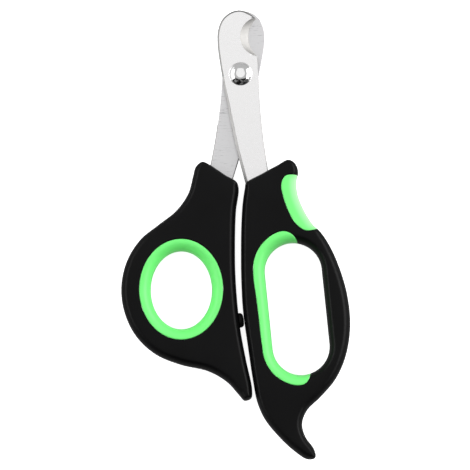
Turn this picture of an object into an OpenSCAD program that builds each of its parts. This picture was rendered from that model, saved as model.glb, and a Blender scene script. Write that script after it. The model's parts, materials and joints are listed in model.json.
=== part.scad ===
// Scissor nail clipper for pets. Two flat blades cross on one rivet. Each blade has a moulded
// handle: the left one ends in a thumb ring, the right one in a long finger loop with a tail.
// Soft grips line the ring and the loop and fill the finger rest above the loop.
// Millimetres. The clipper lies flat and closed: +Y runs from the handles to the blade tips and
// +Z is the front face. Outlines are drawn about the rivet, and place() then moves them so that
// the origin is under the middle of the clipper, on the face that it lies on.

/* [Blades] */
// Thickness of each blade
blade_t = 2; // [1.6:0.1:2.4]
// Gap between the two blades
blade_gap = 0.1; // [0.06:0.02:0.2]
// Diameter of the two holes in each tang that lock it into its handle
tang_hole_d = 3.6; // [2:0.2:4]
// Angle between the two blades when the clipper is closed
closed_angle = 2.1; // [1.6:0.1:2.6]

/* [Nail notch] */
// Diameter of the notch at the outer face of the blade
notch_outer_d = 11.8; // [11:0.2:12.2]
// Diameter of the arc of the cutting edge, at the inner face
notch_edge_d = 15.8; // [15:0.2:16.4]
// Depth of the cutting edge from the side of the blade
notch_depth = 2.6; // [2:0.2:3.4]

/* [Pivot] */
// Diameter of the rivet's shank
shank_d = 4; // [3.4:0.2:4.6]
// Running clearance round the shank in the rear blade, on the radius
shank_clearance = 0.05; // [0.02:0.01:0.08]
// Diameter of the rivet's domed head
head_d = 7; // [6.4:0.2:8]
// Height of the rivet's domed head
head_h = 1.5; // [1.2:0.1:1.8]
// Diameter of the washer behind the rear blade
washer_d = 8; // [7.4:0.2:9]
// Thickness of the washer
washer_t = 0.4; // [0.3:0.1:0.6]
// Diameter of the rivet's peened tail
tail_d = 6; // [5.2:0.2:6.6]
// Height of the peened tail
tail_h = 0.9; // [0.7:0.1:1.2]

/* [Handles] */
// Thickness of the handles
handle_t = 9.6; // [9:0.2:11]
// Width of the rounding along the handles' edges
edge_w = 1.4; // [1:0.1:1.6]
// Height of the rounding along the handles' edges
edge_h = 1.8; // [1.2:0.1:2.4]
// Width of the thumb ring's opening
ring_w = 18.2; // [17.6:0.1:19]
// Length of the thumb ring's opening
ring_l = 23.2; // [22.4:0.1:24]
// Width of the finger loop's opening
loop_w = 17; // [16.6:0.1:17.2]

/* [Grips] */
// Thickness of the soft lining in the thumb ring
lining_t = 3.4; // [3:0.1:3.6]
// How far the linings curve back from the middle of their thickness to their faces
lining_crown = 2.2; // [1:0.2:2.6]
// Height of the hard rib that each soft grip is moulded over
rib_h = 3; // [2:0.2:4]
// Depth of that rib under the soft grip
rib_d = 1.2; // [0.8:0.1:1.4]

/* [Stop] */
// Diameter of the rubber stop between the handles
stop_d = 4.4; // [3.8:0.2:5]
// Gap left between the closed stop and the right handle
stop_gap = 0.15; // [0.1:0.05:0.3]
// Diameter of the stem that holds the stop in the left handle
stem_d = 2.4; // [2:0.2:2.8]

/* [Hidden] */

// ---- curves ---------------------------------------------------------------------------------

// A point on the centripetal Catmull-Rom curve between b and c.
function cr(a, b, c, d, t) =
    let (t1 = sqrt(norm(b - a)), t2 = t1 + sqrt(norm(c - b)), t3 = t2 + sqrt(norm(d - c)),
         u = t1 + (t2 - t1) * t,
         a1 = ((t1 - u) * a + u * b) / t1,
         a2 = ((t2 - u) * b + (u - t1) * c) / (t2 - t1),
         a3 = ((t3 - u) * c + (u - t2) * d) / (t3 - t2),
         b1 = ((t2 - u) * a1 + u * a2) / t2,
         b2 = ((t3 - u) * a2 + (u - t1) * a3) / (t3 - t1))
    ((t2 - u) * b1 + (u - t1) * b2) / (t2 - t1);

// A smooth closed curve through the points p, with n steps between each two.
function loop_curve(p, n) =
    let (m = len(p))
    [for (i = [0:m - 1], k = [0:n - 1])
        cr(p[(i + m - 1) % m], p[i], p[(i + 1) % m], p[(i + 2) % m], k / n)];

// A smooth open curve through the points p, both ends included.
function open_curve(p, n) =
    let (m = len(p), q = concat([2 * p[0] - p[1]], p, [2 * p[m - 1] - p[m - 2]]))
    concat([for (i = [1:m - 1], k = [0:n - 1]) cr(q[i - 1], q[i], q[i + 1], q[i + 2], k / n)],
           [p[m - 1]]);

// The closed polygon p, drawn counterclockwise, with every corner moved inwards by d.
function inset(p, d) =
    let (m = len(p))
    [for (i = [0:m - 1])
        let (e = p[(i + 1) % m] - p[(i + m - 1) % m]) p[i] + d * [-e[1], e[0]] / norm(e)];

// An ellipse with centre c and half axes a and b.
function oval(c, a, b, n = 60) =
    [for (i = [0:n - 1]) c + [a * cos(360 * i / n), b * sin(360 * i / n)]];

// A slot with round ends of radius r about the centres a and b, a above b.
function slot(a, b, r, n = 18) =
    let (d = a - b, f = atan2(d[1], d[0]))
    concat([for (i = [0:n]) a + r * [cos(f - 90 + 180 * i / n), sin(f - 90 + 180 * i / n)]],
           [for (i = [0:n]) b + r * [cos(f + 90 + 180 * i / n), sin(f + 90 + 180 * i / n)]]);

function xs(p) = [for (v = p) v[0]];
function ys(p) = [for (v = p) v[1]];

// ---- outlines, about the rivet --------------------------------------------------------------

// Blade: over the tip and down its back, then up the side that holds the notch.
blade_outline = concat(
    open_curve([[4.7, 16.8], [2.5, 18.4], [0, 19.3], [-2.9, 18.7], [-5.5, 16.5], [-6.8, 13],
                [-6.9, 9], [-6.2, 3.5], [-5.1, -3], [-4, -9], [-2.75, -15.5], [-1.25, -22.5],
                [0.55, -29.5], [2.6, -37], [4.5, -44]], 5),
    open_curve([[9.6, -45], [9.2, -37], [8.1, -28], [7, -20.5], [6.2, -13], [5.7, -6],
                [5.4, 0], [5.1, 5]], 3));

// Left handle, from the inner corner at its top over the shoulder and round the ring.
left_outline = loop_curve([
    [-0.5, -34.6], [-1.1, -32.6], [-4.4, -30.6], [-9.7, -27.15], [-11.45, -26.5], [-13.35, -27.8],
    [-14.25, -30.8], [-15.65, -35.9], [-19.25, -41.1], [-24.65, -45.4], [-30.05, -49.85],
    [-34.15, -56.55], [-35.7, -64.5], [-34.6, -72], [-31.2, -78.8], [-25.5, -84.1], [-18.2, -87.2],
    [-9.5, -89.3], [-4, -92.5], [-0.5, -96.3], [1.2, -98], [3.2, -97.3], [3.5, -94.8], [1.7, -86],
    [0.1, -77.5], [-0.9, -69], [-1.5, -60], [-1.6, -50], [-1.3, -41]], 3);

// Right handle, from the inner corner at its top down to the tail, then up the loop's outside,
// the finger rest and the shoulder.
right_outline = loop_curve([
    [1.6, -32.9], [1.3, -34.2], [0.6, -39], [0.2, -46], [0.1, -54], [0.2, -62], [0.7, -71],
    [2.2, -82], [3.7, -92], [5, -98.5], [7.2, -103.5], [11.4, -108.7], [16, -113], [20, -115.5],
    [22.3, -115], [21.9, -112.4], [19.4, -108.8], [18.4, -105], [19.8, -101], [24, -96.8],
    [28.3, -91.7], [31.3, -85.2], [32.8, -76], [31.8, -65.6], [28.2, -54.6], [25, -48.8],
    [23.5, -47], [21.6, -45.1], [18.75, -40.4], [17.05, -35.8], [16.8, -32.4], [17.3, -29.5],
    [16.4, -27], [14.3, -25.9], [11, -27.6], [6.5, -30.1]], 4);

// Openings: thumb ring and finger loop.
ring_c = [-17.7, -64.95];
loop_top = [15.8, -59.35];
loop_low = [18.1, -81.8];

// Cross section of the thumb ring's lining: distance out from the opening, and height.
lining_section = concat(
    [for (a = [-90:15:90]) [lining_crown * (1 - cos(a)), handle_t / 2 * sin(a)]],
    [[lining_t, handle_t / 2], [lining_t, rib_h / 2], [lining_t - rib_d, rib_h / 2],
     [lining_t - rib_d, -rib_h / 2], [lining_t, -rib_h / 2], [lining_t, -handle_t / 2]]);

// Footprints of the soft grips. Each runs past the free edge of its handle.
ring_pad = oval(ring_c, ring_w / 2 + lining_t, ring_l / 2 + lining_t);
ring_rib = oval(ring_c, ring_w / 2 + lining_t - rib_d, ring_l / 2 + lining_t - rib_d);
loop_pad = concat(
    open_curve([[17.6, -52.4], [17, -50.7], [15.6, -48.7], [13, -47.6], [9.7, -48.6], [6.3, -51.6],
                [4.2, -55.6], [3.8, -60.3], [4.6, -66.8], [5.4, -73], [6.3, -81], [7.2, -86], [9.5, -89.9],
                [13, -92.5], [16.8, -93.6], [19.4, -93], [20.7, -90.6], [20.8, -88.4]], 4),
    [[18, -80], [16.5, -62]]);
rest_pad = concat(
    open_curve([[18.6, -30.9], [16.2, -30.6], [13.4, -31], [12.2, -33.4], [12.8, -37.4],
                [14.5, -42], [16.4, -45.2], [19.4, -47.3], [22.6, -46.8], [24.4, -45.6]], 4),
    [[25, -38], [22, -31]]);

// Reach of the closed clipper in plan.
all_x = concat(xs(left_outline), xs(right_outline));
all_y = concat(ys(right_outline), ys(blade_outline));
// Middle of the clipper, to the nearest 0.05 mm.
mid = [round(10 * (min(all_x) + max(all_x))) / 20, round(10 * (min(all_y) + max(all_y))) / 20];

// Heights, from the plane between the blades.
blade_z = blade_gap / 2;
under_z = blade_z + blade_t + 0.05;
notch_c = [5.75, 11.3];
edge_c = [5 - notch_depth + notch_edge_d / 2, 11.4];
stop_at = [-0.48, -74];
stop_turn = 7;
stop_h = 1.62 - stop_gap;

// ---- helpers --------------------------------------------------------------------------------

module place() translate([-mid[0], -mid[1], handle_t / 2]) children();

// Upright prism of the outline p between the heights z0 and z1.
module prism(p, z0, z1) translate([0, 0, z0]) linear_extrude(z1 - z0) polygon(p);

// Half round bead that rounds the handles' edges.
module bead() rotate_extrude($fn = 16)
    polygon(concat([[0, -edge_h]],
                   [for (a = [-60:30:60]) [edge_w * cos(a), edge_h * sin(a)]],
                   [[0, edge_h]]));

// A moulded plate with rounded edges.
module plate(outline) minkowski() {
    translate([0, 0, edge_h - handle_t / 2]) linear_extrude(handle_t - 2 * edge_h)
        offset(delta = -edge_w) polygon(outline);
    bead();
}

// A closed skin over m rings of n points each, with a flat cap on the first and the last ring.
module skin(rings) {
    n = len(rings[0]);
    m = len(rings);
    polyhedron([for (r = rings, p = r) p],
        concat([[for (k = [0:n - 1]) k]],
               [for (i = [0:m - 2], k = [0:n - 1])
                   [i * n + k, (i + 1) * n + k, (i + 1) * n + (k + 1) % n, i * n + (k + 1) % n]],
               [[for (k = [n - 1:-1:0]) (m - 1) * n + k]]));
}

// The finger loop's opening as a solid: it flares by w over the height h at both faces.
module loop_core(w, h) skin([for (v = concat(
        [[-handle_t / 2 - 1, w]],
        [for (a = [90:-15:0]) [-handle_t / 2 + h - h * sin(a), w * (1 - cos(a))]],
        [for (a = [0:15:90]) [handle_t / 2 - h + h * sin(a), w * (1 - cos(a))]],
        [[handle_t / 2 + 1, w]]))
    [for (q = slot(loop_top, loop_low, loop_w / 2 + v[1])) [q[0], q[1], v[0]]]]);

// The space of a soft grip: its footprint p above and below the rib, and q at the rib.
module grip_space(p, q, over = 0) {
    prism(p, rib_h / 2, handle_t / 2 + over);
    prism(p, -handle_t / 2 - over, -rib_h / 2);
    prism(q, -rib_h / 2 - over, rib_h / 2 + over);
}

// Blade in its own place as the front blade: the cutting edge is on its inner face.
module blade() difference() {
    prism(blade_outline, blade_z, blade_z + blade_t);
    // nail notch, a slanted cone from the cutting edge to the outer face, run on past both faces
    hull() {
        translate([edge_c[0], edge_c[1], blade_z]) cone_end(edge_c, notch_edge_d, -0.25);
        translate([notch_c[0], notch_c[1], blade_z + blade_t]) cone_end(notch_c, notch_outer_d, 0.25);
    }
    tang_holes(1);
}

// One end of the notch's cone, run on by the part k of the blade's thickness.
module cone_end(c, d, k) translate([
        abs(k) * (k < 0 ? edge_c[0] - notch_c[0] : notch_c[0] - edge_c[0]),
        abs(k) * (k < 0 ? edge_c[1] - notch_c[1] : notch_c[1] - edge_c[1]), k * blade_t])
    cylinder(d = d + abs(k) * (k < 0 ? notch_edge_d - notch_outer_d : notch_outer_d - notch_edge_d),
             h = 0.01, $fn = 72);

// The two locking holes in a tang. The handle's plastic fills them.
module tang_holes(over) for (c = [[6.4, -34.5], [7, -40.5]])
    translate([c[0], c[1], blade_z - over]) cylinder(d = tang_hole_d, h = blade_t + 2 * over, $fn = 32);

// Space that the front tang takes in its handle.
module tang_space() difference() {
    prism(blade_outline, blade_z, blade_z + blade_t);
    tang_holes(1);
}

// The rear blade is the same stamping turned over about the clipper's long axis.
module turned_over() rotate([0, 0, -closed_angle]) rotate([0, 180, 0]) children();

// ---- the pieces -----------------------------------------------------------------------------

module front_blade() color("gainsboro") place() difference() {
    blade();
    cylinder(d = shank_d, h = 20, center = true, $fn = 48);
}

module rear_blade() color("silver") place() difference() {
    turned_over() blade();
    cylinder(d = shank_d + 2 * shank_clearance, h = 20, center = true, $fn = 48);
}

// Shank, domed head in front and peened tail behind, turned as one piece.
module pivot_rivet() color("lightgray") place() rotate_extrude($fn = 64)
    polygon(concat(
        [[0, -under_z - washer_t - tail_h], [tail_d * 0.3, -under_z - washer_t - tail_h * 0.85],
         [tail_d * 0.45, -under_z - washer_t - tail_h * 0.5], [tail_d / 2, -under_z - washer_t],
         [shank_d / 2, -under_z - washer_t], [shank_d / 2, blade_z + blade_t],
         [head_d / 2, blade_z + blade_t]],
        [for (a = [10:10:80])
            [head_d / 2 * cos(a * 0.92), blade_z + blade_t + 0.25 + (head_h - 0.25) * sin(a)]],
        [[0, blade_z + blade_t + head_h]]));

module rivet_washer() color("darkgray") place() translate([0, 0, -under_z - washer_t])
    difference() {
        cylinder(d = washer_d, h = washer_t, $fn = 64);
        translate([0, 0, -1]) cylinder(d = shank_d, h = washer_t + 2, $fn = 48);
    }

module left_handle() color([0.13, 0.13, 0.14]) place() difference() {
    plate(left_outline);
    grip_space(ring_pad, ring_rib, 1);
    turned_over() tang_space();
    // hole for the stop's stem, and a flat seat under the stop
    translate([stop_at[0], stop_at[1], 0]) rotate([0, 0, stop_turn]) {
        rotate([0, -90, 0]) cylinder(d = stem_d, h = 3, $fn = 40);
        rotate([0, 90, 0]) cylinder(d = stop_d + 0.1, h = 3, $fn = 40);
    }
}

module right_handle() color([0.13, 0.13, 0.14]) place() difference() {
    plate(right_outline);
    loop_core(edge_w, edge_h);
    grip_space(loop_pad, inset(loop_pad, rib_d), 1);
    grip_space(rest_pad, inset(rest_pad, rib_d), 1);
    tang_space();
}

// Lining of the thumb ring, one cross section carried round the oval.
module thumb_ring_grip() color([0.45, 0.95, 0.45]) place() {
    n = len(ring_pad);
    m = len(lining_section);
    polyhedron(
        [for (k = [0:n - 1], v = lining_section)
            let (a = 360 * k / n)
            [ring_c[0] + (ring_w / 2 + v[0]) * cos(a), ring_c[1] + (ring_l / 2 + v[0]) * sin(a), v[1]]],
        [for (k = [0:n - 1], i = [0:m - 1])
            [k * m + i, k * m + (i + 1) % m, ((k + 1) % n) * m + (i + 1) % m, ((k + 1) % n) * m + i]]);
}

module finger_loop_grip() color([0.45, 0.95, 0.45]) place() difference() {
    grip_space(loop_pad, inset(loop_pad, rib_d));
    loop_core(lining_crown, handle_t / 2);
}

module finger_rest_grip() color([0.45, 0.95, 0.45]) place() intersection() {
    plate(right_outline);
    grip_space(rest_pad, inset(rest_pad, rib_d));
}

// Rubber stop: a stem in the left handle and a low dome that meets the right handle.
module handle_stop() color([0.07, 0.07, 0.07]) place()
    translate([stop_at[0], stop_at[1], 0]) rotate([0, 0, stop_turn]) rotate([0, 90, 0])
        rotate_extrude($fn = 40) polygon([
            [0, -3], [stem_d / 2, -3], [stem_d / 2, 0], [stop_d / 2, 0],
            [stop_d / 2, stop_h * 0.3], [stop_d * 0.46, stop_h * 0.65],
            [stop_d * 0.36, stop_h * 0.92], [stop_d * 0.25, stop_h], [0, stop_h]]);

front_blade();
rear_blade();
pivot_rivet();
rivet_washer();
left_handle();
right_handle();
thumb_ring_grip();
finger_loop_grip();
finger_rest_grip();
handle_stop();
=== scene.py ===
# Looks for the scissor nail clipper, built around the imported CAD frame.
# Shapes are worked out in millimetres about the rivet and written to the meshes in metres.
import json
import math

import bpy
import bmesh
import numpy as np
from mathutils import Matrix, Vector, kdtree
from mathutils.geometry import delaunay_2d_cdt


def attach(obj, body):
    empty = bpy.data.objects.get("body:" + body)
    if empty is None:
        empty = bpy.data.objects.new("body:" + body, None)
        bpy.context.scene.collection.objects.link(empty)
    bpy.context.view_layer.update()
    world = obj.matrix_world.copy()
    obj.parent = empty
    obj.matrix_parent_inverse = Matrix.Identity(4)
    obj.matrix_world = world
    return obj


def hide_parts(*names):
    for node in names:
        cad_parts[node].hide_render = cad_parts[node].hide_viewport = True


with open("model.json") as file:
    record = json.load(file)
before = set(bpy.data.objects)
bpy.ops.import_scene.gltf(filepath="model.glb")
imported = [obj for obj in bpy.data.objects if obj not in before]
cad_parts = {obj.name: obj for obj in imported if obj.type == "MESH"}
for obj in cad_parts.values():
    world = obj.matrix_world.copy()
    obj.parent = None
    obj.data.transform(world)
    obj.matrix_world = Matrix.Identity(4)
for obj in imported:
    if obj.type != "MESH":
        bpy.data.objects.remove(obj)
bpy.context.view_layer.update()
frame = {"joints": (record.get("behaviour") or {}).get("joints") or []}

PIV = np.array(frame["joints"][0]["pos_m"], float)  # the rivet, in the row frame
H = 4.8  # half the handles' thickness, mm
CLOSED = 2.1  # angle between the closed blades, degrees

# ---- outlines, mm about the rivet ------------------------------------------------------------

BLADE_BACK = [[4.7, 16.8], [2.5, 18.4], [0, 19.3], [-2.9, 18.7], [-5.5, 16.5], [-6.8, 13], [-6.9, 9],
              [-6.2, 3.5], [-5.1, -3], [-4, -9], [-2.75, -15.5], [-1.25, -22.5], [0.55, -29.5], [2.6, -37],
              [4.5, -44]]
BLADE_SIDE = [[9.6, -45], [9.2, -37], [8.1, -28], [7, -20.5], [6.2, -13], [5.7, -6], [5.4, 0], [5.1, 5]]
LEFT = [[-0.5, -34.6], [-1.1, -32.6], [-4.4, -30.6], [-9.7, -27.15], [-11.45, -26.5], [-13.35, -27.8],
        [-14.25, -30.8], [-15.65, -35.9], [-19.25, -41.1], [-24.65, -45.4], [-30.05, -49.85],
        [-34.15, -56.55], [-35.7, -64.5], [-34.6, -72], [-31.2, -78.8], [-25.5, -84.1], [-18.2, -87.2], [-9.5, -89.3],
        [-4, -92.5], [-0.5, -96.3], [1.2, -98], [3.2, -97.3], [3.5, -94.8], [1.7, -86], [0.1, -77.5],
        [-0.9, -69], [-1.5, -60], [-1.6, -50], [-1.3, -41]]
RIGHT = [[1.6, -32.9], [1.3, -34.2], [0.6, -39], [0.2, -46], [0.1, -54], [0.2, -62], [0.7, -71],
         [2.2, -82], [3.7, -92], [5, -98.5], [7.2, -103.5], [11.4, -108.7], [16, -113], [20, -115.5],
         [22.3, -115], [21.9, -112.4], [19.4, -108.8], [18.4, -105], [19.8, -101], [24, -96.8],
         [28.3, -91.7], [31.3, -85.2], [32.8, -76], [31.8, -65.6], [28.2, -54.6], [25, -48.8],
         [23.5, -47], [21.6, -45.1], [18.75, -40.4], [17.05, -35.8], [16.8, -32.4], [17.3, -29.5],
         [16.4, -27], [14.3, -25.9], [11, -27.6], [6.5, -30.1]]
LOOP_PAD = [[17.6, -52.4], [17, -50.7], [15.6, -48.7], [13, -47.6], [9.7, -48.6], [6.3, -51.6],
            [4.2, -55.6], [3.8, -60.3], [4.6, -66.8], [5.4, -73], [6.3, -81], [7.2, -86], [9.5, -89.9],
            [13, -92.5], [16.8, -93.6], [19.4, -93], [20.7, -90.6], [20.8, -88.4]]
LOOP_PAD_CLOSE = [[18, -80], [16.5, -62]]
REST_PAD = [[18.6, -30.9], [16.2, -30.6], [13.4, -31], [12.2, -33.4], [12.8, -37.4], [14.5, -42],
            [16.4, -45.2], [19.4, -47.3], [22.6, -46.8], [24.4, -45.6]]
REST_PAD_CLOSE = [[25, -38], [22, -31]]
RING_C, RING_A, RING_B, LINING = np.array([-17.7, -64.95]), 9.1, 11.62, 3.4
LOOP_TOP, LOOP_LOW, LOOP_R = np.array([15.8, -59.35]), np.array([18.1, -81.8]), 8.5
STOP_AT, STOP_TURN, STOP_D, STOP_H = np.array([-0.48, -74.0]), 7.0, 4.4, 1.47

# ---- curves -----------------------------------------------------------------------------------


def cr(a, b, c, d, t):
    """A point on the centripetal Catmull-Rom curve between b and c."""
    t1 = np.linalg.norm(b - a) ** 0.5
    t2 = t1 + np.linalg.norm(c - b) ** 0.5
    t3 = t2 + np.linalg.norm(d - c) ** 0.5
    u = t1 + (t2 - t1) * t
    a1 = ((t1 - u) * a + u * b) / t1
    a2 = ((t2 - u) * b + (u - t1) * c) / (t2 - t1)
    a3 = ((t3 - u) * c + (u - t2) * d) / (t3 - t2)
    b1 = ((t2 - u) * a1 + u * a2) / t2
    b2 = ((t3 - u) * a2 + (u - t1) * a3) / (t3 - t1)
    return ((t2 - u) * b1 + (u - t1) * b2) / (t2 - t1)


def spline(p, closed, n=24):
    """Fine points on the curve through p, and the control number (a float) at each."""
    p = [np.array(v, float) for v in p]
    m = len(p)
    if closed:
        quads = [(p[i - 1], p[i], p[(i + 1) % m], p[(i + 2) % m]) for i in range(m)]
    else:
        q = [2 * p[0] - p[1]] + p + [2 * p[-1] - p[-2]]
        quads = [(q[i - 1], q[i], q[i + 1], q[i + 2]) for i in range(1, m)]
    pts = [cr(*qd, k / n) for qd in quads for k in range(n)]
    num = [i + k / n for i in range(len(quads)) for k in range(n)]
    if not closed:
        pts.append(p[-1])
        num.append(float(m - 1))
    return np.array(pts), np.array(num)


def arc_lengths(p, closed):
    q = np.vstack([p, p[:1]]) if closed else p
    return np.concatenate([[0], np.cumsum(np.linalg.norm(np.diff(q, axis=0), axis=1))])


def blurred(v, s, width, closed=True):
    """v averaged over a Gaussian window of the given width along the lengths s."""
    total = s[-1]
    mid = s[:-1] if closed else s
    dist = np.abs(mid[:, None] - mid[None, :])
    if closed:
        dist = np.minimum(dist, total - dist)
    seg = np.gradient(mid)
    if closed:
        seg = np.abs((np.roll(mid, -1) - np.roll(mid, 1)) % total) / 2
    w = np.exp(-0.5 * (dist / width) ** 2) * seg[None, :]
    return (w @ v) / w.sum(1)


def curvature(p, closed=True):
    """Signed curvature of a closed loop, above 0 where a counterclockwise loop is convex."""
    a, b, c = np.roll(p, 1, 0), p, np.roll(p, -1, 0)
    u, v = b - a, c - b
    cross = u[:, 0] * v[:, 1] - u[:, 1] * v[:, 0]
    lu, lv, lw = (np.linalg.norm(x, axis=1) for x in (u, v, c - a))
    return 2 * cross / np.maximum(lu * lv * lw, 1e-12)


class Edge:
    """A closed, counterclockwise free edge, resampled more finely where it bends, with the width rh and height rv of its rounding."""

    def __init__(self, pts, rh, rv, step=0.5, fine=0.16, hole=False):
        s = arc_lengths(pts, True)
        k = curvature(pts)
        k = blurred(k, s, 0.25)
        bend = -k if hole else k  # towards the material, the rounding can't be wider than the bend
        limit = np.where(bend > 1e-3, 0.8 / np.maximum(bend, 1e-3), 1e3)
        dist = np.abs(s[:-1][:, None] - s[:-1][None, :])
        dist = np.minimum(dist, s[-1] - dist)
        cap = (limit[None, :] + 0.45 * dist).min(1)
        scale = np.minimum(1, cap / rh)
        scale = blurred(scale, s, 0.5)
        rh, rv = rh * scale, rv * np.sqrt(scale)
        size = np.clip(0.22 / np.maximum(np.abs(k), 1e-3) ** 0.75, fine, step)
        size = (size[None, :] + 0.25 * dist).min(1)
        seg = np.diff(s)
        count = np.concatenate([[0], np.cumsum(seg / size)])
        n = int(round(count[-1]))
        want = np.interp(np.arange(n) * count[-1] / n, count, s)
        ext = np.vstack([pts, pts[:1]])
        self.p = np.column_stack([np.interp(want, s, ext[:, i]) for i in range(2)])
        wrap = lambda v: np.interp(want, s, np.append(v, v[0]))
        self.rh, self.rv, self.hole = wrap(rh), wrap(rv), hole
        t = np.roll(self.p, -1, 0) - np.roll(self.p, 1, 0)
        t /= np.linalg.norm(t, axis=1)[:, None]
        self.n = np.column_stack([-t[:, 1], t[:, 0]])  # left of the way round: inwards for an outline
        if hole:
            self.n = -self.n
        if not hole:
            self.p = self.p + 0.02 * self.n  # inside the CAD's box
        self.gap = np.linalg.norm(np.roll(self.p, -1, 0) - self.p, axis=1)

    def nearest(self, q):
        return nearest(q, self.p, True, [self.rh, self.rv])

    def drop(self, q):
        d, (rh, rv) = self.nearest(q)
        return rounding(d, rh, rv), d


def nearest(q, p, closed, values=()):
    """Distance from each q to the line p, and the given values at the nearest point."""
    a = p if closed else p[:-1]
    b = np.roll(p, -1, 0) if closed else p[1:]
    ab = b - a
    l2 = np.maximum((ab**2).sum(1), 1e-12)
    out_d, out_v = np.empty(len(q)), [np.empty(len(q)) for _ in values]
    for i in range(0, len(q), 1500):
        c = q[i : i + 1500]
        rel = c[:, None, :] - a[None]
        t = np.clip((rel * ab[None]).sum(2) / l2[None], 0, 1)
        d2 = ((rel - t[..., None] * ab[None]) ** 2).sum(2)
        j = d2.argmin(1)
        r = np.arange(len(c))
        out_d[i : i + 1500] = np.sqrt(d2[r, j])
        tj = t[r, j]
        for k, v in enumerate(values):
            out_v[k][i : i + 1500] = v[j] * (1 - tj) + v[(j + 1) % len(v)] * tj
    return out_d, out_v


def rounding(d, rh, rv):
    """How far an elliptic rounding lies below the flat face at the distance d from its edge."""
    s = np.clip(1 - d / rh, 0, 1)
    return rv * (1 - np.sqrt(np.maximum(0, 1 - s * s)))


def inside(q, p):
    """Which of the points q lie in the polygon p."""
    a, b = p, np.roll(p, -1, 0)
    out = np.empty(len(q), bool)
    for i in range(0, len(q), 1500):
        x, y = q[i : i + 1500, 0][:, None], q[i : i + 1500, 1][:, None]
        cross = (a[:, 1][None] > y) != (b[:, 1][None] > y)
        dy = b[:, 1] - a[:, 1]
        dy = np.where(np.abs(dy) < 1e-12, 1e-12, dy)
        at = a[:, 0][None] + (y - a[:, 1][None]) / dy[None] * (b[:, 0] - a[:, 0])[None]
        out[i : i + 1500] = (cross & (x < at)).sum(1) % 2 == 1
    return out


def offset_line(p, d, closed):
    """The line p moved to its left by d."""
    if closed:
        t = np.roll(p, -1, 0) - np.roll(p, 1, 0)
    else:
        t = np.gradient(p, axis=0)
    t /= np.maximum(np.linalg.norm(t, axis=1), 1e-9)[:, None]
    return p + d * np.column_stack([-t[:, 1], t[:, 0]])


def evenly(p, step, closed):
    s = arc_lengths(p, closed)
    n = max(3, int(round(s[-1] / step)))
    want = np.linspace(0, s[-1], n + 1)
    ext = np.vstack([p, p[:1]]) if closed else p
    r = np.column_stack([np.interp(want, s, ext[:, i]) for i in range(2)])
    return r[:-1] if closed else r


def oval(c, a, b, n):
    t = np.arange(n) * 2 * np.pi / n
    return c + np.column_stack([a * np.cos(t), b * np.sin(t)])


def slot_loop(a, b, r, n=240):
    """A slot with round ends about a and b, counterclockwise, a above b."""
    d = a - b
    f = math.atan2(d[1], d[0])
    up = a + r * np.column_stack([np.cos(f + np.linspace(-np.pi / 2, np.pi / 2, n)), np.sin(f + np.linspace(-np.pi / 2, np.pi / 2, n))])
    dn = b + r * np.column_stack([np.cos(f + np.linspace(np.pi / 2, 1.5 * np.pi, n)), np.sin(f + np.linspace(np.pi / 2, 1.5 * np.pi, n))])
    side1 = up[-1] + (dn[0] - up[-1]) * np.linspace(0, 1, 102)[1:-1, None]
    side2 = dn[-1] + (up[0] - dn[-1]) * np.linspace(0, 1, 102)[1:-1, None]
    return np.vstack([up, side1, dn, side2])


# ---- meshes from a height over a region -------------------------------------------------------


def triangulate(lines, points, keep):
    """Triangles over the lines (each an array and whether it is closed) and the loose points, keeping those whose centre passes."""
    verts, edges = [], []
    for p, closed in lines:
        base, n = len(verts), len(p)
        verts += [Vector(v) for v in p]
        edges += [(base + i, base + (i + 1) % n) for i in range(n if closed else n - 1)]
    verts += [Vector(v) for v in points]
    co, _, faces, *_ = delaunay_2d_cdt(verts, edges, [], 0, 1e-5)
    v = np.array([tuple(x) for x in co], float)
    f = np.array(faces, int)
    a, b, c = v[f[:, 0]], v[f[:, 1]], v[f[:, 2]]
    area = (b[:, 0] - a[:, 0]) * (c[:, 1] - a[:, 1]) - (b[:, 1] - a[:, 1]) * (c[:, 0] - a[:, 0])
    f = f[np.abs(area) > 1e-9]
    area = area[np.abs(area) > 1e-9]
    f = np.where((area < 0)[:, None], f[:, ::-1], f)
    f = f[keep(v[f].mean(1))]
    used = np.unique(f)
    back = -np.ones(len(v), int)
    back[used] = np.arange(len(used))
    return v[used], back[f]


def spread(groups, lines, clear=0.75):
    """Loose points out of groups of (points, spacing): each keeps its spacing from the lines and from those before it."""
    kept, tree = [], kdtree.KDTree(sum(len(p) for p, _ in lines) + sum(len(g) for g, _ in groups))
    for p, closed in lines:
        for v in p:
            tree.insert(Vector((v[0], v[1], 0)), 0)
    tree.balance()
    for g, gap in groups:
        if not len(g):
            continue
        gaps = np.broadcast_to(gap, (len(g),))
        dist = np.full(len(g), 1e9)
        for p, closed in lines:
            dist = np.minimum(dist, nearest(g, p, closed)[0])
        new = []
        for v, r, d in zip(g, gaps, dist):
            if d < clear * r:
                continue
            _, _, near = tree.find(Vector((v[0], v[1], 0)))
            if near is not None and near < clear * r:
                continue
            new.append(v)
        kept += new
        fresh = kdtree.KDTree(sum(len(p) for p, _ in lines) + len(kept))
        for p, closed in lines:
            for v in p:
                fresh.insert(Vector((v[0], v[1], 0)), 0)
        for v in kept:
            fresh.insert(Vector((v[0], v[1], 0)), 0)
        fresh.balance()
        tree = fresh
    return np.array(kept).reshape(-1, 2)


def rim(f):
    """The boundary edges of the triangles f, each as (i, j) with the material on its left."""
    e = np.vstack([f[:, [0, 1]], f[:, [1, 2]], f[:, [2, 0]]])
    seen = {(a, b) for a, b in e.tolist()}
    return [(a, b) for a, b in e.tolist() if (b, a) not in seen]


def lattice(box, step):
    x0, y0, x1, y1 = box
    rows = []
    for k, y in enumerate(np.arange(y0, y1, step * 0.866)):
        x = np.arange(x0 + (step / 2 if k % 2 else 0), x1, step)
        rows.append(np.column_stack([x, np.full(len(x), y)]))
    return np.vstack(rows)


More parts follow.
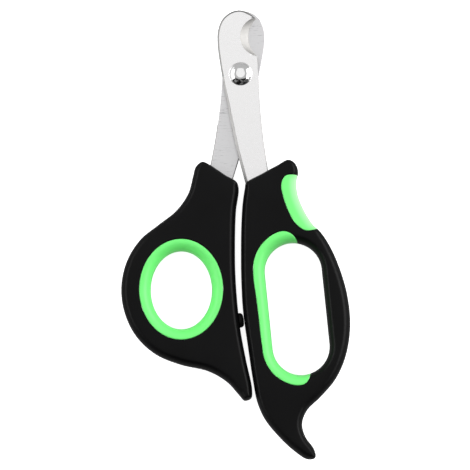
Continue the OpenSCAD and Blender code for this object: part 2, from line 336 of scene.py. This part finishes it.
def closed_sheet(v, f, top, bottom):
    """Vertices and faces of the solid between the heights top and bottom over the triangles."""
    n = len(v)
    co = np.vstack([np.column_stack([v, top]), np.column_stack([v, bottom])])
    faces = f.tolist() + (f[:, ::-1] + n).tolist()
    walls = [[j, i, i + n, j + n] for i, j in rim(f)]
    return co, faces, walls


def make(name, co, faces, node, body, mats, index=None, sharp=None):
    """A mesh object in the row frame from points in mm about the rivet."""
    me = bpy.data.meshes.new(name)
    me.from_pydata((co / 1000 + PIV).tolist(), [], faces)
    bm = bmesh.new()
    bm.from_mesh(me)
    if index is not None:
        for fc, i in zip(bm.faces, index):
            fc.material_index = i
    bmesh.ops.remove_doubles(bm, verts=bm.verts, dist=2e-7)
    bmesh.ops.dissolve_degenerate(bm, edges=bm.edges, dist=1e-7)
    bmesh.ops.recalc_face_normals(bm, faces=bm.faces)
    for fc in bm.faces:
        fc.smooth = True
    if sharp is not None:
        lim = math.radians(sharp)
        for e in bm.edges:
            if len(e.link_faces) == 2 and e.calc_face_angle(0) > lim:
                e.smooth = False
    open_edges = sum(len(e.link_faces) != 2 for e in bm.edges)
    if open_edges:
        print(name, "open edges", open_edges)
    bm.to_mesh(me)
    bm.free()
    for m in mats:
        me.materials.append(m)
    ob = bpy.data.objects.new(name, me)
    bpy.context.scene.collection.objects.link(ob)
    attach(ob, body)
    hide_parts(node)
    return ob


def lathe(profile, segments):
    """Points and faces of a turned body about Z. The profile runs (radius, height) from the lowest to the highest point."""
    co, faces, rings = [], [], []
    for r, z in profile:
        if r < 1e-6:
            rings.append([len(co)])
            co.append((0, 0, z))
        else:
            rings.append(list(range(len(co), len(co) + segments)))
            co += [(r * math.cos(2 * math.pi * k / segments), r * math.sin(2 * math.pi * k / segments), z) for k in range(segments)]
    for a, b in zip(rings, rings[1:]):
        for k in range(segments):
            m = (k + 1) % segments
            if len(a) == 1 and len(b) > 1:
                faces.append([a[0], b[m], b[k]])
            elif len(b) == 1 and len(a) > 1:
                faces.append([a[k], a[m], b[0]])
            elif len(a) > 1:
                faces.append([a[k], a[m], b[m], b[k]])
    return np.array(co, float), faces, rings


def fillet(p, q, r, n=6):
    """Points of a rounded corner at q between the profile points p[0] and p[1]."""
    a, b, c = np.array(p[0], float), np.array(q, float), np.array(p[1], float)
    u, v = (a - b) / np.linalg.norm(a - b), (c - b) / np.linalg.norm(c - b)
    s, e = b + u * r, b + v * r
    return [tuple((1 - t) ** 2 * s + 2 * t * (1 - t) * b + t * t * e) for t in np.linspace(0, 1, n)]


# ---- materials --------------------------------------------------------------------------------


class Nodes:
    def __init__(self, name):
        self.mat = bpy.data.materials.new(name)
        self.mat.use_nodes = True
        self.t = self.mat.node_tree
        self.bsdf = self.t.nodes["Principled BSDF"]
        self.coord = self.t.nodes.new("ShaderNodeTexCoord").outputs["Object"]

    def link(self, a, b):
        self.t.links.new(a, b)

    def scaled(self, scale, turn=0.0):
        m = self.t.nodes.new("ShaderNodeMapping")
        m.inputs["Scale"].default_value = scale
        m.inputs["Rotation"].default_value = (0, 0, turn)
        self.link(self.coord, m.inputs["Vector"])
        return m.outputs[0]

    def noise(self, scale, detail=3.0, rough=0.5, vector=None, distortion=0.0):
        n = self.t.nodes.new("ShaderNodeTexNoise")
        n.inputs["Scale"].default_value = scale
        n.inputs["Detail"].default_value = detail
        n.inputs["Roughness"].default_value = rough
        n.inputs["Distortion"].default_value = distortion
        self.link(vector if vector is not None else self.coord, n.inputs["Vector"])
        return n.outputs["Fac"]

    def ramp(self, fac, a, b, lo=0.3, hi=0.7):
        r = self.t.nodes.new("ShaderNodeValToRGB")
        r.color_ramp.elements[0].position, r.color_ramp.elements[1].position = lo, hi
        r.color_ramp.elements[0].color, r.color_ramp.elements[1].color = a, b
        self.link(fac, r.inputs["Fac"])
        return r.outputs["Color"]

    def span(self, fac, a, b, lo=0.3, hi=0.7):
        r = self.t.nodes.new("ShaderNodeMapRange")
        for k, v in zip(("From Min", "From Max", "To Min", "To Max"), (lo, hi, a, b)):
            r.inputs[k].default_value = v
        self.link(fac, r.inputs["Value"])
        return r.outputs["Result"]

    def bump(self, height, strength, distance, normal=None):
        b = self.t.nodes.new("ShaderNodeBump")
        b.inputs["Strength"].default_value = strength
        b.inputs["Distance"].default_value = distance
        self.link(height, b.inputs["Height"])
        if normal is not None:
            self.link(normal, b.inputs["Normal"])
        return b.outputs["Normal"]

    def set(self, **values):
        for k, v in values.items():
            self.bsdf.inputs[k.replace("_", " ")].default_value = v

    def into(self, socket, out):
        self.link(out, self.bsdf.inputs[socket])


def grey(v, tint=(1, 1, 1)):
    return (v * tint[0], v * tint[1], v * tint[2], 1)


def black_plastic():
    n = Nodes("black_moulded_plastic")
    broad = n.noise(90, 2)
    fine = n.noise(5200, 2, 0.6)
    n.into("Base Color", n.ramp(broad, grey(0.0020, (1, 0.98, 1.05)), grey(0.0032, (0.98, 1, 1.07)), 0.25, 0.75))
    n.into("Roughness", n.span(fine, 0.36, 0.46, 0.25, 0.75))
    n.set(Specular_IOR_Level=0.12, IOR=1.46)
    n.into("Normal", n.bump(fine, 0.16, 0.00004, n.bump(n.noise(420, 2), 0.06, 0.00015)))
    return n.mat


def soft_green(name, painted_edge_highlight=False):
    """Soft green rubber; on the finger rest its base colour is painted paler towards the rounded edges, a painted
    highlight.
    """
    n = Nodes(name)
    broad = n.noise(120, 2)
    fine = n.noise(4200, 2, 0.55)
    colour = n.ramp(broad, (0.175, 0.94, 0.20, 1), (0.195, 0.97, 0.225, 1), 0.25, 0.75)
    # painted highlight: on the finger rest the colour mixes towards pale green as the surface drops from the top face
    # towards the mid-plane
    if painted_edge_highlight:
        sep = n.t.nodes.new("ShaderNodeSeparateXYZ")
        n.link(n.coord, sep.inputs[0])
        mid, off = n.t.nodes.new("ShaderNodeMath"), n.t.nodes.new("ShaderNodeMath")
        mid.operation, off.operation = "SUBTRACT", "ABSOLUTE"
        mid.inputs[1].default_value = 0.0048
        n.link(sep.outputs["Z"], mid.inputs[0])
        n.link(mid.outputs[0], off.inputs[0])
        mix = n.t.nodes.new("ShaderNodeMix")
        mix.data_type = "RGBA"
        n.link(n.span(off.outputs[0], 1.0, 0.0, 0.0022, 0.0048), mix.inputs[0])
        n.link(colour, [i for i in mix.inputs if i.name == "A" and i.type == "RGBA"][0])
        [i for i in mix.inputs if i.name == "B" and i.type == "RGBA"][0].default_value = (0.56, 0.98, 0.56, 1)
        colour = [o for o in mix.outputs if o.type == "RGBA"][0]
    n.into("Base Color", colour)
    n.into("Roughness", n.span(fine, 0.36, 0.48, 0.25, 0.75))
    n.set(Specular_IOR_Level=0.5, IOR=1.45, Sheen_Weight=0.7, Sheen_Roughness=0.3, Sheen_Tint=(0.95, 1, 0.95, 1))
    n.into("Normal", n.bump(fine, 0.14, 0.00005, n.bump(n.noise(500, 2), 0.1, 0.0001)))
    return n.mat


def rubber():
    n = Nodes("black_stop_rubber")
    fine = n.noise(3800, 3, 0.6)
    n.into("Base Color", n.ramp(n.noise(300, 2), grey(0.004), grey(0.007), 0.3, 0.7))
    n.into("Roughness", n.span(fine, 0.55, 0.7, 0.25, 0.75))
    n.set(Specular_IOR_Level=0.2)
    n.into("Normal", n.bump(fine, 0.25, 0.00005))
    return n.mat


def steel(name, low, high, r0, r1, across, strength, tint=(1, 1, 1), turn=0.0, stain=0.0):
    """Brushed steel: across is the scale of the brushing across and along its lines."""
    n = Nodes(name)
    lines = n.noise(1.0, 4, 0.6, n.scaled(across, turn))
    thin = n.noise(1.0, 5, 0.7, n.scaled(tuple(v * 3.1 for v in across), turn + 0.03))
    broad = n.noise(150, 2)
    mix = n.t.nodes.new("ShaderNodeMath")
    mix.operation = "ADD"
    n.link(lines, mix.inputs[0])
    n.link(thin, mix.inputs[1])
    mul = n.t.nodes.new("ShaderNodeMath")
    mul.operation = "MULTIPLY_ADD"
    n.link(broad, mul.inputs[0])
    mul.inputs[1].default_value = stain
    n.link(mix.outputs[0], mul.inputs[2])
    n.into("Base Color", n.ramp(mul.outputs[0], grey(low, tint), grey(high, tint), 0.7, 1.3 + stain))
    n.into("Roughness", n.span(thin, r0, r1, 0.3, 0.7))
    n.set(Metallic=1.0)
    n.into("Normal", n.bump(mix.outputs[0], strength, 0.00003))
    return n.mat


FRONT = steel("satin_steel_front", 0.79, 0.87, 0.24, 0.34, (260, 2600, 260), 0.05, (1, 0.992, 0.992), 0.1, 0.3)
REAR = steel("satin_steel_rear", 0.20, 0.72, 0.30, 0.42, (200, 2200, 200), 0.22, (0.995, 0.99, 1.0), 0.12, 0.2)
# the band down the lower back: ground steel on the chamfer there, its base colour darkened as painted shade for the
# grey band along the edge
BAND_PAINTED_SHADE = steel("ground_back_steel_painted_shade", 0.30, 0.44, 0.5, 0.6, (3000, 400, 400), 0.08, (1, 0.99, 0.98), 0.0, 0.2)
# the edge chamfer: rougher ground steel, its base colour darkened far below real steel as painted shade for the dark
# edge line
GROUND_PAINTED_SHADE = steel("ground_bevel_steel_painted_shade", 0.20, 0.31, 0.42, 0.55, (3000, 400, 400), 0.08, (1, 0.99, 0.98), 0.0, 0.2)
HOLLOW = steel("hollow_ground_steel", 0.36, 0.50, 0.60, 0.70, (3000, 300, 1200), 0.08, (1, 0.985, 0.96), 0.2, 0.3)
# the blanked sides and the under edge break: rough sheared steel, its base colour set very dark as painted shade for
# the dark edge lines
SIDES_PAINTED_SHADE = steel("blanked_side_steel_painted_shade", 0.10, 0.22, 0.35, 0.5, (2600, 2600, 300), 0.1, (1, 0.99, 0.98), 0.0, 0.2)
RIVET = steel("polished_rivet_steel", 0.74, 0.84, 0.07, 0.13, (900, 900, 900), 0.02, (1, 1, 1), 0.0, 0.2)
WASHER = steel("washer_steel", 0.5, 0.62, 0.22, 0.34, (2400, 2400, 2400), 0.05, (1, 0.99, 0.97))
BLACK, STOP_RUBBER = black_plastic(), rubber()
GREEN, REST_GREEN_PAINTED_HIGHLIGHT = soft_green("green_soft_rubber"), soft_green("green_finger_rest_painted_highlight", True)

# ---- handles and grips: one height for both, cut where the soft grips meet the hard plastic ----

ANGLES = np.radians([14, 27, 40, 52, 63, 73, 82, 90])


def radii(num, table, count):
    """Rounding width and height at the control numbers num, smoothly between the table's rows (control, rh, rv)."""
    k = np.array([r[0] for r in table], float)
    k = np.concatenate([[k[-1] - count], k, [k[0] + count]])
    cols = []
    for c in (1, 2):
        v = np.array([r[c] for r in table], float)
        v = np.concatenate([[v[-1]], v, [v[0]]])
        j = np.clip(np.searchsorted(k, num, side="right") - 1, 0, len(k) - 2)
        t = (num - k[j]) / (k[j + 1] - k[j])
        t = t * t * (3 - 2 * t)
        cols.append(v[j] * (1 - t) + v[j + 1] * t)
    return cols


pts, num = spline(LEFT, True)
rh, rv = radii(num, [(0.2, 1.95, 4.3), (1.2, 1.3, 2.6), (3.4, 1.2, 2.2), (5, 1.8, 3.4), (9, 2.0, 4.0), (17, 2.0, 4.2),
                     (20, 1.7, 4.0), (22.5, 1.8, 4.2), (28, 1.95, 4.3)], len(LEFT))
left_edge = Edge(pts, rh, rv)

pts, num = spline(RIGHT, True)
rh, rv = radii(num, [(0.3, 1.2, 2.4), (1.5, 1.6, 4.0), (8, 1.6, 4.2), (12, 1.9, 4.2), (17, 1.9, 4.2), (19.5, 2.1, 4.2),
                     (21, 2.4, 4.3), (24, 2.4, 4.3), (25.2, 2.2, 4.2), (26.2, 1.7, 3.6), (27, 2.7, 4.3), (30, 2.8, 4.3),
                     (31, 1.7, 3.4), (33, 1.3, 2.4), (35, 1.2, 2.0)], len(RIGHT))
right_edge = Edge(pts, rh, rv)

ring_pts = oval(RING_C, RING_A, RING_B, 600)
ring_edge = Edge(ring_pts, np.full(600, 2.7), np.full(600, 4.45), hole=True)

loop_pts = slot_loop(LOOP_TOP, LOOP_LOW, LOOP_R)
pad_line, _ = spline(LOOP_PAD, False)
pad_poly = np.vstack([pad_line, LOOP_PAD_CLOSE])
green_side = inside(loop_pts, pad_poly).astype(float)
s = arc_lengths(loop_pts, True)
share = blurred(green_side, s, 2.2)
loop_edge = Edge(loop_pts, 2.0 + 0.7 * share, 4.2 + 0.25 * share, hole=True)


def crown(q, edges, depth=0.22, reach=6.5, width=1.2):
    """A slight fall of the top towards its edges, evened out so that it has no ridge."""
    lo_, hi_ = edges[0].p.min(0) - 3, edges[0].p.max(0) + 3
    step = 0.5
    xs = np.arange(lo_[0], hi_[0], step)
    ys = np.arange(lo_[1], hi_[1], step)
    g = np.column_stack([a.ravel() for a in np.meshgrid(xs, ys)])
    d = np.full(len(g), 1e9)
    out = ~inside(g, edges[0].p)
    for e in edges:
        d = np.minimum(d, nearest(g, e.p, True)[0])
        if e.hole:
            out |= inside(g, e.p)
    d[out] = 0
    c = depth * np.clip(1 - d / reach, 0, 1) ** 2
    c = c.reshape(len(ys), len(xs))
    r = int(3 * width / step)
    k = np.exp(-0.5 * (np.arange(-r, r + 1) * step / width) ** 2)
    k /= k.sum()
    c = np.apply_along_axis(lambda m: np.convolve(np.pad(m, r, mode="edge"), k, mode="valid"), 0, c)
    c = np.apply_along_axis(lambda m: np.convolve(np.pad(m, r, mode="edge"), k, mode="valid"), 1, c)
    fx = np.clip((q[:, 0] - xs[0]) / step, 0, len(xs) - 1.001)
    fy = np.clip((q[:, 1] - ys[0]) / step, 0, len(ys) - 1.001)
    ix, iy = fx.astype(int), fy.astype(int)
    tx, ty = fx - ix, fy - iy
    return (c[iy, ix] * (1 - tx) + c[iy, ix + 1] * tx) * (1 - ty) + (c[iy + 1, ix] * (1 - tx) + c[iy + 1, ix + 1] * tx) * ty


def edge_rows(e):
    rows = []
    for a in ANGLES:
        off = e.rh * (1 - math.cos(a))
        rows.append((e.p + e.n * off[:, None], off))
    return rows


def piece(name, node, body, mat, edges, seams, keep, depth, step=1.0):
    """A moulded piece: its free edges, its seams (line, closed) and a test for which part of the plane it fills."""
    lines = [(e.p, True) for e in edges] + [(p, c) for p, c in seams]
    groups = []
    for e in edges:
        last = np.zeros(len(e.p))
        for row, off in edge_rows(e):
            groups.append((row, np.minimum(np.minimum(off - last, 0.3), e.gap) * 0.95))
            last = off
    for p, c in seams:
        fine_line = evenly(p, 0.35, c)
        for d, gap in ((0.06, 0.055), (0.13, 0.065), (0.22, 0.085), (0.34, 0.11), (0.6, 0.24)):
            for sign in (1, -1):
                groups.append((offset_line(fine_line, sign * d, c), gap))
    box = np.concatenate([edges[0].p.min(0), edges[0].p.max(0)])
    groups.append((lattice(box, step), step * 0.55))
    groups = [(g[keep(g)], np.broadcast_to(r, (len(g),))[keep(g)]) for g, r in groups]
    v, f = triangulate(lines, spread(groups, lines), keep)
    z = H - crown(v, edges)
    fall = np.zeros(len(v))
    for e in edges:
        fall = np.maximum(fall, e.drop(v)[0])
    groove = np.zeros(len(v))
    for p, c in seams:
        d, _ = nearest(v, p, c)
        groove = np.maximum(groove, rounding(d, np.full(len(v), 0.32), np.full(len(v), depth)))
    z = z + crown_at_flat - fall - groove
    z = np.maximum(z, 0.12)
    co, faces, walls = closed_sheet(v, f, z, -z)
    return make(name, co, faces + walls, node, body, [mat])


crown_at_flat = 0.0  # set so that the highest point of the handles is the CAD's

# left handle and the thumb ring's lining
seam = evenly(oval(RING_C, RING_A + LINING, RING_B + LINING, 900), 0.45, True)
seam_out = evenly(oval(RING_C, RING_A + LINING + 0.05, RING_B + LINING + 0.05, 900), 0.45, True)
piece("left_handle_shell", "left_handle", "left_half", BLACK, [left_edge], [(seam_out, True)],
      lambda q: inside(q, left_edge.p) & ~inside(q, seam_out), 0.14)
piece("thumb_ring_lining", "thumb_ring_grip", "left_half", GREEN, [left_edge, ring_edge], [(seam, True)],
      lambda q: inside(q, seam) & ~inside(q, ring_edge.p), 0.16)

# right handle, the finger loop's lining and the finger rest
rest_line, _ = spline(REST_PAD, False)
rest_poly = np.vstack([rest_line, REST_PAD_CLOSE])
loop_seam, rest_seam = evenly(pad_line, 0.45, False), evenly(rest_line, 0.45, False)
# the pads' lines run clockwise round the top, so their left is outside or inside by drawing order
def outwards(line, poly, d):
    moved = offset_line(line, d, False)
    return moved if not inside(moved[len(moved) // 2][None], poly)[0] else offset_line(line, -d, False)


loop_out, rest_out = outwards(loop_seam, pad_poly, 0.05), outwards(rest_seam, rest_poly, 0.05)
loop_out_poly = np.vstack([loop_out, LOOP_PAD_CLOSE])
rest_out_poly = np.vstack([rest_out, REST_PAD_CLOSE])
piece("right_handle_shell", "right_handle", "right_half", BLACK, [right_edge, loop_edge],
      [(loop_out, False), (rest_out, False)],
      lambda q: inside(q, right_edge.p) & ~inside(q, loop_edge.p) & ~inside(q, loop_out_poly) & ~inside(q, rest_out_poly), 0.14)
loop_poly = np.vstack([loop_seam, LOOP_PAD_CLOSE])
rest_poly = np.vstack([rest_seam, REST_PAD_CLOSE])
piece("finger_loop_lining", "finger_loop_grip", "right_half", GREEN, [right_edge, loop_edge],
      [(loop_seam, False)], lambda q: inside(q, loop_poly) & ~inside(q, loop_edge.p) & inside(q, right_edge.p), 0.16)
piece("finger_rest_pad", "finger_rest_grip", "right_half", REST_GREEN_PAINTED_HIGHLIGHT, [right_edge],
      [(rest_seam, False)], lambda q: inside(q, rest_poly) & inside(q, right_edge.p), 0.16)

# ---- blades -----------------------------------------------------------------------------------

back, back_num = spline(BLADE_BACK, False)
side, side_num = spline(BLADE_SIDE, False)
EDGE_C, EDGE_R = np.array([10.3, 11.4]), 7.9
NOTCH_C, NOTCH_R = np.array([5.75, 11.3]), 5.9
Z0, Z1 = 0.05, 2.05
# the chamfer's width on the outer face: narrow over the tip, wider down the back, hardly any at the notch side
back_w = np.interp(back_num, [0, 1, 6, 7, 8, 9, 10, 14], [0.3, 0.5, 0.5, 0.46, 0.5, 0.75, 0.82, 0.82])
side_w = np.interp(side_num, [0, 4, 7], [0.3, 0.22, 0.14])
join = np.linspace(back[-1], side[0], 12)[1:-1]
mouth = np.linspace(side[-1], back[0], 40)[1:-1]
outline = np.vstack([back, join, side, mouth])
widths = np.concatenate([back_w, np.full(len(join), 0.5), side_w, np.full(len(mouth), 0.14)])
sl = arc_lengths(outline, True)
want = np.arange(int(sl[-1] / 0.3)) * 0.3
ext, wext = np.vstack([outline, outline[:1]]), np.append(widths, widths[0])
blade_p = np.column_stack([np.interp(want, sl, ext[:, i]) for i in range(2)])
blade_w = np.interp(want, sl, wext)
blade_p = offset_line(blade_p, 0.02, True)  # inside the CAD's box


def cone_ring(k, a0=96, a1=264, step=1.5):
    """The notch's circle at the height k, from 0 at the cutting edge to 1 at the outer face."""
    a = np.radians(np.arange(a0, a1 + step, step))
    return EDGE_C + (NOTCH_C - EDGE_C) * k + (EDGE_R + (NOTCH_R - EDGE_R) * k) * np.column_stack([np.cos(a), np.sin(a)])


HOLES = [np.array([6.4, -34.5]), np.array([7, -40.5])]
blade_holes = [oval(c, 1.8, 1.8, 48) for c in HOLES] + [oval(np.zeros(2), 2.03, 2.03, 64)]


def on_cone(q):
    """How high up the notch's cone each point lies, from 0 at the cutting edge to 1 at the outer face."""
    dc, dr = NOTCH_C - EDGE_C, NOTCH_R - EDGE_R
    w = q - EDGE_C
    a = dc @ dc - dr * dr
    b = -2 * (w @ dc + EDGE_R * dr)
    c = (w**2).sum(1) - EDGE_R**2
    return (-b - np.sqrt(np.maximum(b * b - 4 * a * c, 0))) / (2 * a)


def blade_mesh():
    groups = [(offset_line(blade_p, d, True), g) for d, g in ((0.13, 0.1), (0.26, 0.12), (0.9, 0.3), (1.4, 0.35))]
    inner = blade_p + (offset_line(blade_p, 1.0, True) - blade_p) * blade_w[:, None]
    lines = [(blade_p, True), (cone_ring(0), False), (cone_ring(1), False), (inner, True)] + [(h, True) for h in blade_holes]
    for k in (0.04, 0.2, 0.4, 0.6, 0.8):
        groups.append((cone_ring(k), 0.08))
    groups.append((lattice((-8, -46, 11, 20), 0.9), 0.5))
    keep = lambda q: inside(q, blade_p) & (np.linalg.norm(q - EDGE_C, axis=1) > EDGE_R) & ~inside(q, blade_holes[0]) & ~inside(q, blade_holes[1]) & ~inside(q, blade_holes[2])
    groups = [(g[keep(g)], r) for g, r in groups]
    v, f = triangulate(lines, spread(groups, lines, 0.6), keep)
    d, (w,) = nearest(v, blade_p, True, [blade_w])
    flat = Z1 - 0.9 * w * np.clip(1 - d / w, 0, 1)
    near_notch = np.linalg.norm(v - NOTCH_C, axis=1) < NOTCH_R + 1e-4
    cone = Z0 + (Z1 - Z0) * np.clip(on_cone(v), 0.02, 1)
    top = np.where(near_notch, np.minimum(flat, cone), flat)
    brk = np.where(v[:, 1] < -15, 0.26, 0.12)
    low = Z0 + 0.5 * brk * np.clip(1 - d / brk, 0, 1) * (np.linalg.norm(v - EDGE_C, axis=1) > EDGE_R + 0.2)
    low = np.minimum(low, top - 0.03)
    co, faces, walls = closed_sheet(v, f, top, low)
    # 0 outer face, 1 chamfer, 2 notch, 3 inner face, 4 sides
    c = v[f].mean(1)
    dc, (wc,) = nearest(c, blade_p, True, [blade_w])
    tf = top[f].mean(1)
    label = np.where(np.linalg.norm(c - NOTCH_C, axis=1) < NOTCH_R, np.where(tf < Z1 - 0.9 * wc * np.clip(1 - dc / wc, 0, 1) - 0.01, 2, 0), 0)
    # labels 1 (the chamfer) and 6 (the band down the lower back) take darker steel: painted shade along the blade's
    # edges
    label = np.where((label == 0) & (dc < wc * 0.98), np.where((c[:, 1] < -0.8) & (c[:, 0] < 0.5 - 0.25 * (c[:, 1] + 4)), 6, 1), label)
    # label 5: the edge break under the shank, in the dark side steel as painted shade
    under = np.where((dc < 0.26) & (c[:, 1] < -15) & (np.linalg.norm(c - EDGE_C, axis=1) > EDGE_R + 0.2), 5, 3)
    index = label.tolist() + under.tolist() + [4] * len(walls)
    return co, faces + walls, index


co, faces, index = blade_mesh()
make("front_blade_steel", co, faces, "front_blade", "right_half", [FRONT, GROUND_PAINTED_SHADE, HOLLOW, REAR, SIDES_PAINTED_SHADE, SIDES_PAINTED_SHADE, BAND_PAINTED_SHADE], index, sharp=14)
turn = math.radians(-CLOSED)
R = np.array([[math.cos(turn), -math.sin(turn), 0], [math.sin(turn), math.cos(turn), 0], [0, 0, 1]])
rear = (co * np.array([-1, 1, -1])) @ R.T
make("rear_blade_steel", rear, faces, "rear_blade", "left_half", [REAR, GROUND_PAINTED_SHADE, HOLLOW, REAR, SIDES_PAINTED_SHADE, SIDES_PAINTED_SHADE, BAND_PAINTED_SHADE], index, sharp=14)

# ---- rivet, washer and stop -------------------------------------------------------------------

under = Z1 + 0.05
# the head: a low rim, shoulders that steepen outwards, and a small flat top
dome, r_, z_ = [], 1.28, 1.5
while r_ < 3.46:
    dome.append((r_, Z1 + z_))
    tilt = math.radians(13 + 39 * (r_ - 1.28) / 2.2)
    z_ -= math.tan(tilt) * 0.06
    r_ += 0.06
dome = dome[::-1]
profile = [(0, -under - 0.4 - 0.9), (1.2, -under - 0.4 - 0.87), (2.1, -under - 0.4 - 0.66), (2.7, -under - 0.4 - 0.3),
           (2.92, -under - 0.4 - 0.08), (2.86, -under - 0.4), (2.0, -under - 0.4), (2.0, Z1)]
profile += [(3.44, Z1), (3.49, Z1 + 0.03), (3.5, Z1 + 0.08)] + dome + [(1.24, Z1 + 1.5), (1.1, Z1 + 1.5), (0.6, Z1 + 1.5), (0, Z1 + 1.5)]
rc, rf, _ = lathe(profile, 96)
make("pivot_rivet_head", rc, rf, "pivot_rivet", "right_half", [RIVET], sharp=50)

wz0, wz1 = -under - 0.4, -under
profile = [(2.01, wz0 + 0.04), (2.05, wz0), (3.92, wz0), (4.0, wz0 + 0.08), (4.0, wz1 - 0.08), (3.92, wz1), (2.05, wz1), (2.01, wz1 - 0.04)]
wc_, wf, rings = lathe(profile, 96)
first, lastr = rings[0], rings[-1]
wf += [[lastr[k], lastr[(k + 1) % 96], first[(k + 1) % 96], first[k]] for k in range(96)]
make("rivet_washer_ring", wc_, wf, "rivet_washer", "right_half", [WASHER], sharp=50)

prof = [(0, -3.0), (1.1, -3.0), (1.2, -2.9), (1.2, -0.05), (2.05, -0.05), (2.2, 0.1), (2.2, STOP_H * 0.3), (2.14, STOP_H * 0.5),
        (2.0, STOP_H * 0.68), (1.78, STOP_H * 0.83), (1.45, STOP_H * 0.94), (1.0, STOP_H * 0.985), (0.5, STOP_H), (0, STOP_H)]
sc, sf, _ = lathe(prof, 64)
ry = np.array([[0, 0, 1], [0, 1, 0], [-1, 0, 0]], float)  # the turning axis becomes +X
a = math.radians(STOP_TURN)
rz = np.array([[math.cos(a), -math.sin(a), 0], [math.sin(a), math.cos(a), 0], [0, 0, 1]])
sc = sc @ ry.T @ rz.T + np.array([STOP_AT[0], STOP_AT[1], 0])
make("handle_stop_rubber", sc, sf, "handle_stop", "left_half", [STOP_RUBBER], sharp=50)

# ---- floor, light and camera ------------------------------------------------------------------


def stage_mesh(name, corners, mat):
    me = bpy.data.meshes.new(name)
    me.from_pydata([tuple(c) for c in corners], [], [list(range(len(corners)))])
    me.materials.append(mat)
    ob = bpy.data.objects.new(name, me)
    bpy.context.scene.collection.objects.link(ob)
    return ob


def paper():
    n = Nodes("pale_floor_paper")
    n.into("Base Color", n.ramp(n.noise(900, 3), grey(0.93), grey(0.95), 0.3, 0.7))
    n.into("Roughness", n.span(n.noise(2500, 2), 0.85, 0.95))
    n.set(Specular_IOR_Level=0.1, Emission_Color=(1, 1, 1, 1), Emission_Strength=0.9)
    return n.mat


size = 3.0
floor = stage_mesh("floor", [(-size, -size, 0), (size, -size, 0), (size, size, 0), (-size, size, 0)], paper())
floor.visible_diffuse = False
floor.visible_glossy = False

world = bpy.data.worlds.new("studio")
bpy.context.scene.world = world
world.use_nodes = True
wt = world.node_tree
bg = wt.nodes["Background"]
bg.inputs["Strength"].default_value = 1.0
tc = wt.nodes.new("ShaderNodeTexCoord")
sep = wt.nodes.new("ShaderNodeSeparateXYZ")
up = wt.nodes.new("ShaderNodeMapRange")
for k, v in zip(("From Min", "From Max", "To Min", "To Max"), (-0.25, 0.05, 0.3, 0.55)):
    up.inputs[k].default_value = v
wt.links.new(tc.outputs["Generated"], sep.inputs[0])
wt.links.new(sep.outputs["Z"], up.inputs["Value"])
wt.links.new(up.outputs["Result"], bg.inputs["Color"])


def softbox(name, at, target, w, h, power):
    d = bpy.data.lights.new(name, "AREA")
    d.shape, d.size, d.size_y, d.energy = "RECTANGLE", w, h, power
    o = bpy.data.objects.new(name, d)
    o.location = at
    o.rotation_euler = (Vector(target) - Vector(at)).to_track_quat("-Z", "Y").to_euler()
    o.visible_camera = False
    bpy.context.scene.collection.objects.link(o)
    return o


softbox("overhead", (0, 0.55, 1.3), (0, 0.2, 0), 1.1, 1.1, 0.5 * math.pi * 1.21)
softbox("left_strip", (-0.86, 0.1, 0.5), (0, 0, 0), 1.2, 0.34, 4.2 * math.pi * 0.41)
softbox("right_strip", (0.86, 0.1, 0.5), (0, 0, 0), 1.2, 0.34, 4.6 * math.pi * 0.41)
softbox("left_wall", (-1.1, 0.2, 0.2), (0, 0, 0), 2.0, 0.4, 0.5 * math.pi * 0.8)
softbox("right_wall", (1.0, 0.3, 0.21), (0, 0, 0), 1.0, 0.36, 3.5 * math.pi * 0.36)

def dim_card():
    n = Nodes("dark_flag")
    n.set(Base_Color=(0, 0, 0, 1), Specular_IOR_Level=0, Emission_Color=(1, 1, 1, 1))
    n.into("Emission Strength", n.span(n.noise(3.2, 3, 0.6), 0.004, 0.4, 0.5, 0.72))
    return n.mat


flag = stage_mesh("dark_flag", [(-0.95, -0.6, -0.02), (0.95, -0.6, -0.02), (0.62, -0.34, 0.62), (-0.62, -0.34, 0.62)], dim_card())
flag.visible_camera = False
flag.visible_shadow = False

cam_d = bpy.data.cameras.new("camera")
cam = bpy.data.objects.new("camera", cam_d)
bpy.context.scene.collection.objects.link(cam)
bpy.context.scene.camera = cam
DIST, TILT = 1.25, math.radians(5)
target = PIV + np.array([-1.65, -48.35, 0]) / 1000
cam.location = Vector(target) + Vector((0, -math.sin(TILT), math.cos(TILT))) * DIST
cam.rotation_euler = (TILT, 0, 0)
cam_d.sensor_width = 36
cam_d.lens = 36 / 0.14075 * DIST
cam_d.clip_start, cam_d.clip_end = 0.05, 20
cam_d.dof.use_dof = False

bpy.context.scene.view_settings.view_transform = "Standard"
